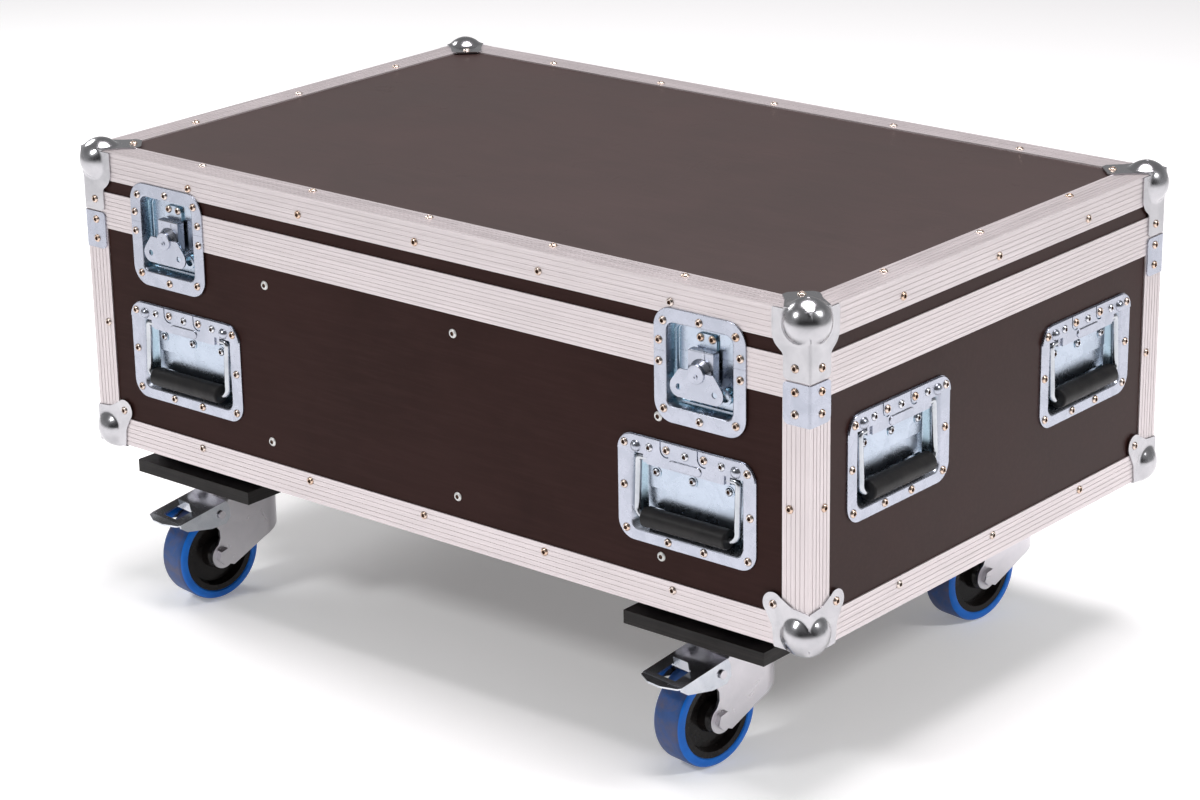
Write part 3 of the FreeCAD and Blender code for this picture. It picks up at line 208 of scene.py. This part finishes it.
class Graph:
    """A Principled material and short calls that add nodes to it."""

    def __init__(self, name):
        self.material = bpy.data.materials.new(name)
        self.material.use_nodes = True
        self.tree = self.material.node_tree
        self.shader = self.tree.nodes["Principled BSDF"]
        self.position = self.add("ShaderNodeTexCoord").outputs["Object"]

    def add(self, kind, **settings):
        node = self.tree.nodes.new(kind)
        for key, value in settings.items():
            setattr(node, key, value)
        return node

    def feed(self, socket, value):
        if isinstance(value, bpy.types.NodeSocket):
            self.tree.links.new(value, socket)
        else:
            socket.default_value = value

    def math(self, operation, a, b=0.0, c=0.0, clamp=False):
        node = self.add("ShaderNodeMath", operation=operation, use_clamp=clamp)
        for socket, value in zip(node.inputs, (a, b, c)):
            self.feed(socket, value)
        return node.outputs[0]

    def span(self, value, low, high, to_low=0.0, to_high=1.0, smooth=False):
        node = self.add("ShaderNodeMapRange")
        if smooth:
            node.interpolation_type = "SMOOTHSTEP"
        for name, number in (("Value", value), ("From Min", low), ("From Max", high),
                             ("To Min", to_low), ("To Max", to_high)):
            self.feed(node.inputs[name], number)
        return node.outputs["Result"]

    def stretch(self, scale, vector=None):
        node = self.add("ShaderNodeMapping")
        self.feed(node.inputs["Vector"], vector or self.position)
        node.inputs["Scale"].default_value = scale
        return node.outputs[0]

    def noise(self, vector, scale=1.0, detail=2.0, roughness=0.5, distortion=0.0):
        node = self.add("ShaderNodeTexNoise")
        self.feed(node.inputs["Vector"], vector)
        node.inputs["Scale"].default_value = scale
        node.inputs["Detail"].default_value = detail
        node.inputs["Roughness"].default_value = roughness
        node.inputs["Distortion"].default_value = distortion
        return node.outputs["Fac"]

    def mix(self, factor, a, b):
        node = self.add("ShaderNodeMix", data_type="RGBA")
        self.feed(node.inputs["Factor"], factor)
        for name, value in (("A", a), ("B", b)):
            self.feed(node.inputs[name], (*value, 1) if isinstance(value, tuple) else value)
        return node.outputs["Result"]

    def choose(self, factor, a, b):
        node = self.add("ShaderNodeMix", data_type="VECTOR")
        self.feed(node.inputs["Factor"], factor)
        self.feed(node.inputs["A"], a)
        self.feed(node.inputs["B"], b)
        return node.outputs["Result"]

    def bump(self, height, strength, distance, normal=None):
        node = self.add("ShaderNodeBump")
        node.inputs["Strength"].default_value = strength
        node.inputs["Distance"].default_value = distance
        self.feed(node.inputs["Height"], height)
        if normal is not None:
            self.feed(node.inputs["Normal"], normal)
        return node.outputs[0]

    def set(self, **inputs):
        for name, value in inputs.items():
            socket = self.shader.inputs[name.replace("_", " ")]
            if isinstance(value, tuple) and socket.type == "RGBA":
                value = (*value, 1)
            self.feed(socket, value)
        return self.material


def depth_behind_walls(g):
    """Distance in metres from the nearest side wall plane, inward."""
    split = g.add("ShaderNodeSeparateXYZ")
    g.feed(split.inputs[0], g.position)
    x = g.math("SUBTRACT", HALF_LENGTH, g.math("ABSOLUTE", split.outputs[0]))
    y = g.math("SUBTRACT", HALF_DEPTH, g.math("ABSOLUTE", split.outputs[1]))
    return g.math("MINIMUM", x, y), split.outputs, x, y


# ---------------------------------------------------------------- materials

def film_plywood(name, sheen, gloss):
    """Brown phenolic film: faint pressed grain and cloudy tone; gloss is its lowest roughness."""
    g = Graph(name)
    cloud = g.noise(g.position, 7.0, 4.0, 0.6, 0.4)
    grain = g.noise(g.stretch((18, 260, 260)), 1.0, 5.0, 0.65)
    fleck = g.noise(g.position, 900.0, 2.0, 0.7)
    tone = g.mix(g.span(cloud, 0.3, 0.7), (0.0245, 0.0092, 0.0076), (0.0325, 0.0132, 0.0115))
    tone = g.mix(g.span(grain, 0.45, 0.75, 0.0, 0.35), tone, (0.047, 0.0215, 0.0195))
    tone = g.mix(g.span(fleck, 0.62, 0.75, 0.0, 0.25), tone, (0.060, 0.032, 0.030))
    scuff = g.noise(g.stretch((3, 3, 40)), 4.0, 6.0, 0.75, 1.2)
    rough = g.span(cloud, 0.25, 0.75, gloss, gloss + 0.10)
    rough = g.math("ADD", rough, g.span(scuff, 0.60, 0.72, 0.0, 0.12))
    relief = g.bump(grain, 0.10, 0.0002)
    relief = g.bump(fleck, 0.12, 0.00006, relief)
    return g.set(Base_Color=tone, Roughness=rough, Normal=relief, Specular_IOR_Level=sheen)


def cut_plywood():
    """Bare inside faces of the plywood, seen when the lid is open."""
    g = Graph("inner_plywood")
    grain = g.noise(g.stretch((9, 160, 160)), 1.0, 6.0, 0.6, 0.3)
    tone = g.mix(g.span(grain, 0.35, 0.7), (0.030, 0.016, 0.013), (0.055, 0.032, 0.027))
    return g.set(Base_Color=tone, Roughness=g.span(grain, 0.3, 0.7, 0.45, 0.6),
                 Normal=g.bump(grain, 0.2, 0.0002))


def run_streaks(g, uprights):
    """Streaks that follow each extrusion along its own length."""
    depth, xyz, x, y = depth_behind_walls(g)
    fine = 900.0
    along = 6.0
    on_end = g.math("LESS_THAN", x, y)
    streak = g.choose(on_end, g.stretch((along, fine, fine)), g.stretch((fine, along, fine)))
    if uprights:
        above = g.math("GREATER_THAN", xyz[2], BODY_BOTTOM + EDGE_LEG)
        streak = g.choose(above, streak, g.stretch((fine, fine, along)))
    return streak


def extruded_aluminium(name, uprights):
    g = Graph(name)
    streak = g.noise(run_streaks(g, uprights), 1.0, 3.0, 0.6)
    cloud = g.noise(g.position, 14.0, 3.0, 0.6)
    tone = g.mix(g.span(streak, 0.3, 0.7), (0.57, 0.52, 0.525), (0.73, 0.67, 0.68))
    tone = g.mix(g.span(cloud, 0.4, 0.8, 0.0, 0.3), tone, (0.62, 0.58, 0.585))
    rough = g.math("ADD", g.span(streak, 0.3, 0.7, 0.34, 0.44), g.span(cloud, 0.3, 0.7, 0.0, 0.06))
    relief = g.bump(streak, 0.18, 0.00006)
    return g.set(Base_Color=tone, Metallic=0.72, Roughness=rough, Normal=relief)


def zinc(name, base=(0.44, 0.46, 0.53), shade=(0.385, 0.41, 0.475), roughness=(0.22, 0.32), painted_recess_reflection=True):
    """Bright zinc plating: cloudy bluish tone, handling marks; with the recess switch on, a painted
    blue-green reflection on the walls of recesses and a painted pale blue reflection deeper in.
    """
    g = Graph(name)
    cloud = g.noise(g.position, 45.0, 4.0, 0.6, 0.8)
    fine = g.noise(g.stretch((300, 300, 1200)), 1.0, 2.0, 0.6)
    tone = g.mix(g.span(cloud, 0.3, 0.75), base, shade)
    if painted_recess_reflection:
        depth, xyz, x, y = depth_behind_walls(g)
        facing = g.add("ShaderNodeSeparateXYZ")
        g.feed(facing.inputs[0], g.add("ShaderNodeNewGeometry").outputs["Normal"])
        on_end = g.math("LESS_THAN", x, y)
        across = g.math("SUBTRACT", facing.outputs[0], facing.outputs[1])
        flat = g.math("ADD", facing.outputs[1], g.math("MULTIPLY", on_end, across))
        reflection_wall_mask = g.span(g.math("ABSOLUTE", flat), 0.35, 0.95, 1.0, 0.0, True)
        reflection_depth_mask = g.span(depth, 0.0012, 0.008, 0.0, 1.0, True)
        # Painted reflection: blue-green on steep recess walls, pale bluish over everything deeper inside the
        # recess.
        tone = g.mix(g.math("MULTIPLY", g.math("MULTIPLY", reflection_wall_mask, reflection_depth_mask), 0.70), tone, (0.11, 0.36, 0.44))
        tone = g.mix(g.math("MULTIPLY", reflection_depth_mask, 0.30), tone, (0.46, 0.60, 0.72))
    rough = g.span(cloud, 0.3, 0.7, *roughness)
    rough = g.math("ADD", rough, g.span(fine, 0.6, 0.8, 0.0, 0.10))
    relief = g.bump(cloud, 0.04, 0.0004)
    relief = g.bump(fine, 0.03, 0.00005, relief)
    return g.set(Base_Color=tone, Metallic=1.0, Roughness=rough, Normal=relief)


def polished_steel():
    g = Graph("corner_steel")
    cloud = g.noise(g.position, 60.0, 4.0, 0.6, 0.5)
    fine = g.noise(g.position, 1500.0, 2.0, 0.6)
    tone = g.mix(g.span(cloud, 0.3, 0.7), (0.50, 0.495, 0.515), (0.42, 0.42, 0.44))
    rough = g.math("ADD", g.span(cloud, 0.3, 0.7, 0.17, 0.25), g.span(fine, 0.55, 0.8, 0.0, 0.08))
    return g.set(Base_Color=tone, Metallic=1.0, Roughness=rough, Normal=g.bump(cloud, 0.05, 0.0004))


def rivet_metal(name, light, dark):
    g = Graph(name)
    tint = g.noise(g.position, 30.0, 2.0, 0.5)
    mark = g.noise(g.position, 700.0, 3.0, 0.6)
    tone = g.mix(g.span(tint, 0.35, 0.65), light, dark)
    rough = g.span(mark, 0.3, 0.7, 0.20, 0.36)
    return g.set(Base_Color=tone, Metallic=1.0, Roughness=rough, Normal=g.bump(mark, 0.15, 0.0001))


def rivet_hollow_painted_shade():
    # Painted shade: the hollow of each rivet and the socket of each bolt are coloured near-black copper,
    # standing in for the shade inside the hole.
    g = Graph("rivet_hollow_painted_shade")
    mark = g.noise(g.position, 900.0, 3.0, 0.6)
    tone = g.mix(g.span(mark, 0.3, 0.7), (0.035, 0.016, 0.010), (0.12, 0.055, 0.030))
    return g.set(Base_Color=tone, Metallic=0.7, Roughness=0.45)


def grip_rubber():
    g = Graph("grip_rubber")
    line = g.noise(g.position, 420.0, 4.0, 0.6)
    cloud = g.noise(g.position, 60.0, 3.0, 0.6)
    tone = g.mix(g.span(cloud, 0.3, 0.7), (0.010, 0.010, 0.011), (0.022, 0.021, 0.021))
    rough = g.span(line, 0.3, 0.7, 0.36, 0.52)
    return g.set(Base_Color=tone, Roughness=rough, Normal=g.bump(line, 0.25, 0.00015),
                 Specular_IOR_Level=0.20)


def black_board():
    g = Graph("black_board")
    layers = g.noise(g.stretch((6, 6, 900)), 1.0, 3.0, 0.7)
    cloud = g.noise(g.position, 50.0, 4.0, 0.6)
    tone = g.mix(g.span(layers, 0.4, 0.7), (0.0065, 0.0055, 0.0055), (0.018, 0.015, 0.014))
    rough = g.span(cloud, 0.3, 0.7, 0.45, 0.62)
    relief = g.bump(layers, 0.30, 0.00025)
    return g.set(Base_Color=tone, Roughness=rough, Normal=relief, Specular_IOR_Level=0.25)


def wheel_plastic():
    g = Graph("wheel_plastic")
    cloud = g.noise(g.position, 90.0, 3.0, 0.6)
    fine = g.noise(g.position, 1300.0, 2.0, 0.5)
    tone = g.mix(g.span(cloud, 0.3, 0.7), (0.007, 0.006, 0.006), (0.015, 0.012, 0.011))
    return g.set(Base_Color=tone, Roughness=g.span(cloud, 0.3, 0.7, 0.14, 0.24),
                 Normal=g.bump(fine, 0.08, 0.00005), Specular_IOR_Level=0.22)


def tyre_rubber(name, light, dark, roughness, dirt):
    """Elastic tyre rubber with brownish road dust rubbed into part of it."""
    g = Graph(name)
    dust = g.noise(g.position, 38.0, 5.0, 0.7, 0.6)
    cloud = g.noise(g.position, 55.0, 4.0, 0.6)
    fine = g.noise(g.position, 900.0, 3.0, 0.6)
    tone = g.mix(g.span(cloud, 0.3, 0.75), light, dark)
    tone = g.mix(g.span(dust, 0.42, 0.66, 0.0, dirt), tone, (0.115, 0.088, 0.098))
    rough = g.math("ADD", g.span(fine, 0.3, 0.7, 0.0, 0.10), roughness)
    return g.set(Base_Color=tone, Roughness=rough, Normal=g.bump(fine, 0.15, 0.0001),
                 Specular_IOR_Level=0.30)


def painted_bolt():
    g = Graph("bolt_white")
    cloud = g.noise(g.position, 300.0, 3.0, 0.6)
    tone = g.mix(g.span(cloud, 0.3, 0.7), (0.78, 0.78, 0.76), (0.62, 0.62, 0.61))
    return g.set(Base_Color=tone, Metallic=0.3, Roughness=g.span(cloud, 0.3, 0.7, 0.30, 0.45))


# ---------------------------------------------------------------- pieces

def finish_node(name, material, bevel=0.0):
    """Give a carried-over piece its material and, with a bevel width, softened edges."""
    piece = nodes[name]
    piece.data.materials.clear()
    piece.data.materials.append(material)
    if bevel:
        edge = piece.modifiers.new("edge", "BEVEL")
        edge.width = bevel
        edge.segments = BEVEL_SEGMENTS
        edge.limit_method = "ANGLE"
        edge.angle_limit = math.radians(BEVEL_ANGLE)
        edge.harden_normals = True
        edge.use_clamp_overlap = True
    return piece


def new_object(name, mesh):
    piece = bpy.data.objects.new(name, mesh)
    scene.collection.objects.link(piece)
    return piece


def islands(mesh):
    """Vertex positions of each separate solid in a mesh."""
    parent = list(range(len(mesh.vertices)))

    def root(i):
        while parent[i] != i:
            parent[i] = parent[parent[i]]
            i = parent[i]
        return i

    seen = {}
    for vertex in mesh.vertices:
        key = tuple(round(c, 6) for c in vertex.co)
        if key in seen:
            parent[root(vertex.index)] = root(seen[key])
        else:
            seen[key] = vertex.index
    for edge in mesh.edges:
        parent[root(edge.vertices[0])] = root(edge.vertices[1])
    groups = {}
    for vertex in mesh.vertices:
        groups.setdefault(root(vertex.index), []).append(vertex.co.copy())
    return list(groups.values())


def head_frames(node_name):
    """Centre on the seat, outward direction and height of every rivet head in a node."""
    frames = []
    for points in islands(nodes[node_name].data):
        low = Vector([min(p[i] for p in points) for i in range(3)])
        high = Vector([max(p[i] for p in points) for i in range(3)])
        size = high - low
        axis = min(range(3), key=lambda i: size[i])
        centre = (low + high) / 2
        outward = Vector((0, 0, 0))
        outward[axis] = 1 if centre[axis] > (MID_HEIGHT if axis == 2 else 0) else -1
        seat = centre - outward * size[axis] / 2
        frames.append((seat, outward, size[axis], max(size) / 2))
    return frames


def revolve_heads(name, frames, outline, hollow_from, materials, steps=28):
    """One mesh of turned heads; outline is (radius share, height share) from rim to axis."""
    bm = bmesh.new()
    for seat, outward, height, radius in frames:
        side = outward.orthogonal().normalized()
        other = outward.cross(side)
        rings = []
        for r, h in outline:
            at = seat + outward * (h * height)
            if r < 1e-6:
                rings.append([bm.verts.new(at)])
                continue
            ring = []
            for k in range(steps):
                turn = 2 * math.pi * k / steps
                ring.append(bm.verts.new(at + (side * math.cos(turn) + other * math.sin(turn)) * r * radius))
            rings.append(ring)
        for level in range(len(rings) - 1):
            a = rings[level]
            b = rings[level + 1]
            for k in range(steps):
                n = (k + 1) % steps
                if len(a) == 1:
                    face = bm.faces.new((a[0], b[n], b[k]))
                elif len(b) == 1:
                    face = bm.faces.new((a[k], a[n], b[0]))
                else:
                    face = bm.faces.new((a[k], a[n], b[n], b[k]))
                face.smooth = True
                face.material_index = 1 if level >= hollow_from else 0
    mesh = bpy.data.meshes.new(name)
    bm.to_mesh(mesh)
    bm.free()
    for material in materials:
        mesh.materials.append(material)
    return new_object(name, mesh)


RIVET_OUTLINE = ((0.0, 0.0), (1.0, 0.0), (1.0, 0.14), (0.985, 0.26), (0.94, 0.42), (0.86, 0.62), (0.76, 0.80),
                 (0.68, 0.93), (0.61, 0.995), (0.55, 1.0), (0.505, 0.96), (0.475, 0.86), (0.46, 0.70),
                 (0.445, 0.35), (0.42, 0.12), (0.0, 0.05))
# Rings from this one inward take the painted-shade hollow material.
HOLLOW_RING = 11


def make_heads(copper, silver, bolt, hollow):
    """Turned rivet and bolt heads in place of the plain ones."""
    for name, body, metal in (("base_rivets", "case_base", copper),
                              ("lid_rivets", "lid", copper),
                              ("handle_plate_rivets", "case_base", silver),
                              ("divider_bolts", "case_base", bolt)):
        spots = head_frames(name)
        heads = revolve_heads(name + "_turned", spots, RIVET_OUTLINE, HOLLOW_RING, (metal, hollow))
        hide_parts(name)
        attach(heads, body)


def wheel_frame(node_name):
    """Centre and axle direction of a wheel node."""
    points = [v.co for v in nodes[node_name].data.vertices]
    low = Vector([min(p[i] for p in points) for i in range(3)])
    high = Vector([max(p[i] for p in points) for i in range(3)])
    steer = math.radians(STEER_DEGREES)
    return (low + high) / 2, Vector((math.cos(steer), math.sin(steer), 0))


def revolve_wheel(name, centre, axle, outline, material_of, materials, steps=128):
    """Closed (axial, radius) outline turned about the axle."""
    bm = bmesh.new()
    up = Vector((0, 0, 1))
    side = axle.cross(up).normalized()
    rings = []
    for x, r in outline:
        ring = []
        for k in range(steps):
            turn = 2 * math.pi * k / steps
            ring.append(bm.verts.new(centre + axle * x + (up * math.cos(turn) + side * math.sin(turn)) * r))
        rings.append(ring)
    count = len(rings)
    for level in range(count):
        a = rings[level]
        b = rings[(level + 1) % count]
        for k in range(steps):
            n = (k + 1) % steps
            face = bm.faces.new((a[k], a[n], b[n], b[k]))
            face.smooth = True
            face.material_index = material_of(level)
    bmesh.ops.recalc_face_normals(bm, faces=bm.faces)
    mesh = bpy.data.meshes.new(name)
    bm.to_mesh(mesh)
    bm.free()
    for material in materials:
        mesh.materials.append(material)
    piece = new_object(name, mesh)
    piece.data.set_sharp_from_angle(angle=math.radians(40))
    return piece


def smooth_outline(points, radius_steps):
    """Outline with each listed corner turned into a short arc of three points."""
    out = []
    count = len(points)
    for i, (x, r, cut) in enumerate(points):
        if not cut:
            out.append((x, r))
            continue
        px, pr, _ = points[i - 1]
        nx, nr, _ = points[(i + 1) % count]
        back = Vector((px - x, pr - r))
        ahead = Vector((nx - x, nr - r))
        back = back.normalized() * min(cut, back.length * 0.49)
        ahead = ahead.normalized() * min(cut, ahead.length * 0.49)
        corner = Vector((x, r))
        for k in range(radius_steps + 1):
            t = k / radius_steps
            point = (corner + back) * (1 - t) ** 2 + corner * (2 * t * (1 - t)) + (corner + ahead) * t ** 2
            out.append((point.x, point.y))
    return out


def make_wheels(side_blue, tread_blue):
    """Tyres with rounded shoulders: blue sides and a duller tread."""
    half = TYRE_HALF_WIDTH
    inner = TYRE_INNER
    outer = TYRE_OUTER
    for corner in CORNERS:
        centre, axle = wheel_frame("tyre_" + corner)
        right = [(half - 0.0015, inner, 0), (half, inner + 0.001, 0.0006), (half, outer - 0.0045, 0.002),
                 (half - 0.0012, outer - 0.0016, 0.0012), (half - 0.004, outer - 0.00005, 0.0020)]
        left = [(-x, r, cut) for x, r, cut in reversed(right)]
        outline = smooth_outline(right + left, 4)
        tread = [i for i, (x, r) in enumerate(outline) if r > outer - 0.0012]

        def pick(level, tread=tread):
            return 1 if level in tread and (level + 1) in tread else 0

        tyre = revolve_wheel("tyre_turned_" + corner, centre, axle, outline, pick, (side_blue, tread_blue))
        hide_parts("tyre_" + corner)
        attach(tyre, "wheel_" + corner)


def make_looks():
    """Give every piece its material and softened edges, and build the turned pieces."""
    film = film_plywood("film_plywood", 0.06, 0.36)
    film_ends = film_plywood("film_plywood_ends", 0.11, 0.27)
    film_top = film_plywood("film_plywood_top", 0.72, 0.34)
    inner = cut_plywood()
    rails = extruded_aluminium("aluminium_rails", False)
    edges = extruded_aluminium("aluminium_edges", True)
    lid_edges = extruded_aluminium("aluminium_lid_edges", False)
    plated = zinc("zinc_dishes")
    plain_zinc = zinc("zinc_fittings", painted_recess_reflection=False)
    fork_zinc = zinc("zinc_forks", (0.64, 0.62, 0.65), (0.58, 0.57, 0.60), (0.26, 0.34), painted_recess_reflection=False)
    pedal_zinc = zinc("zinc_pedals", (0.62, 0.64, 0.68), (0.50, 0.53, 0.58), (0.14, 0.24), painted_recess_reflection=False)
    steel = polished_steel()
    wire = zinc("zinc_wire", (0.52, 0.54, 0.57), (0.42, 0.45, 0.49), (0.16, 0.24), painted_recess_reflection=False)
    for name in ("front_panel", "back_panel", "bottom_panel", "lid_long_panels"):
        finish_node(name, film)
    for name in ("left_panel", "right_panel", "lid_end_panels"):
        finish_node(name, film_ends)
    finish_node("lid_top_panel", film_top)
    finish_node("interior_dividers", inner)
    finish_node("base_edge_profiles", edges)
    finish_node("lid_edge_profiles", lid_edges)
    finish_node("base_closing_rails", rails)
    finish_node("lid_closing_rails", rails)
    for name in ("lid_ball_corners", "base_ball_corners"):
        finish_node(name, steel, HEAVY_EDGE)
    finish_node("base_corner_braces", plain_zinc, PRESSED_EDGE)
    for name in ("latch_base_dishes", "latch_lid_dishes", "handle_dishes"):
        finish_node(name, plated, HEAVY_EDGE)
    finish_node("handle_cover_plates", plain_zinc, CUT_EDGE)
    for name in ("hinge_base_leaves", "hinge_lid_leaves", "hinge_pins"):
        finish_node(name, plain_zinc, CUT_EDGE)
    finish_node("wheel_boards", black_board(), HEAVY_EDGE)
    finish_node("caster_top_plates", fork_zinc, PRESSED_EDGE)
    finish_node("caster_plate_bolts", fork_zinc, CUT_EDGE)
    for side in ("left", "right"):
        finish_node("latch_key_" + side, plain_zinc, CUT_EDGE)
        finish_node("latch_hook_" + side, plain_zinc, PRESSED_EDGE)
    rubber = grip_rubber()
    for spot in HANDLE_SPOTS:
        finish_node("bail_" + spot, wire)
        finish_node("grip_" + spot, rubber, CUT_EDGE)
    plastic = wheel_plastic()
    for corner in CORNERS:
        finish_node("caster_fork_" + corner, fork_zinc, PRESSED_EDGE)
        finish_node("wheel_rim_" + corner, plastic, HEAVY_EDGE)
    for corner in CORNERS[:2]:
        finish_node("brake_pedal_" + corner, pedal_zinc, THIN_EDGE)
    make_heads(rivet_metal("rivet_copper", (0.70, 0.62, 0.57), (0.64, 0.47, 0.36)),
               rivet_metal("rivet_silver", (0.66, 0.67, 0.70), (0.56, 0.57, 0.61)),
               painted_bolt(), rivet_hollow_painted_shade())
    make_wheels(tyre_rubber("tyre_side", (0.0, 0.165, 0.66), (0.0, 0.125, 0.55), 0.36, 0.04),
                tyre_rubber("tyre_tread", (0.022, 0.080, 0.26), (0.016, 0.055, 0.18), 0.42, 0.65))


scene.view_settings.view_transform = "Standard"
make_camera()
make_world()
make_lights()
make_floor()
make_looks()
